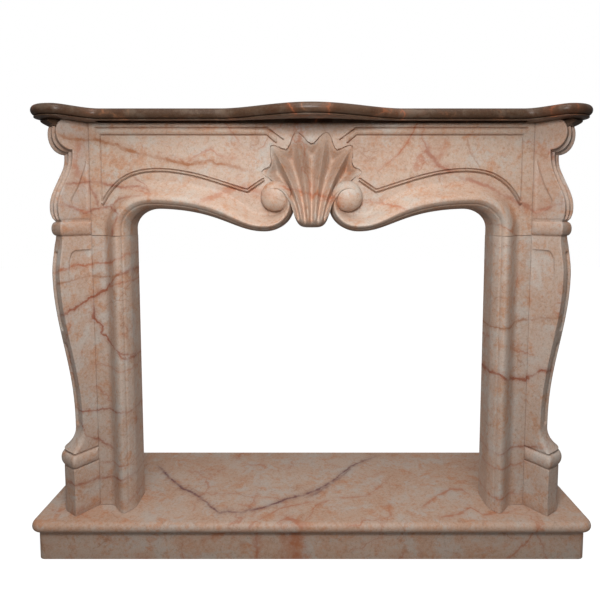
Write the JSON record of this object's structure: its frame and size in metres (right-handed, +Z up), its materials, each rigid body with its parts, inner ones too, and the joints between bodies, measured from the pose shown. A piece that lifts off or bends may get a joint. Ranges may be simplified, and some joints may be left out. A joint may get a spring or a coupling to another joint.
{
  "type": "fireplace mantel",
  "caption": "Carved marble fireplace mantel with a serpentine shelf, angled consoles, a shell over an arched fire opening, and a raised hearth.",
  "frame": {"origin": "bottom centre of the whole piece, on the floor", "axes": "+X to the right along the shelf, +Y back towards the wall, +Z up"},
  "size_m": [1.596, 0.481, 1.272],
  "materials": {
    "hearth_marble": "polished rose marble with dark red veins",
    "upright_marble": "semi-polished pink-beige marble with rust veins",
    "carved_marble": "semi-polished pink-beige marble with rust veins",
    "shelf_marble": "polished brown-rose marble"
  },
  "bodies": {
    "root": {"hearth_plinth": "hearth_marble", "hearth_slab": "hearth_marble", "left_jamb": "upright_marble", "right_jamb": "upright_marble", "left_leg": "upright_marble", "right_leg": "upright_marble", "left_corbel": "upright_marble", "right_corbel": "upright_marble", "left_return": "upright_marble", "right_return": "upright_marble", "frieze": "carved_marble", "mantel_shelf": "shelf_marble"}
  },
  "joints": []
}
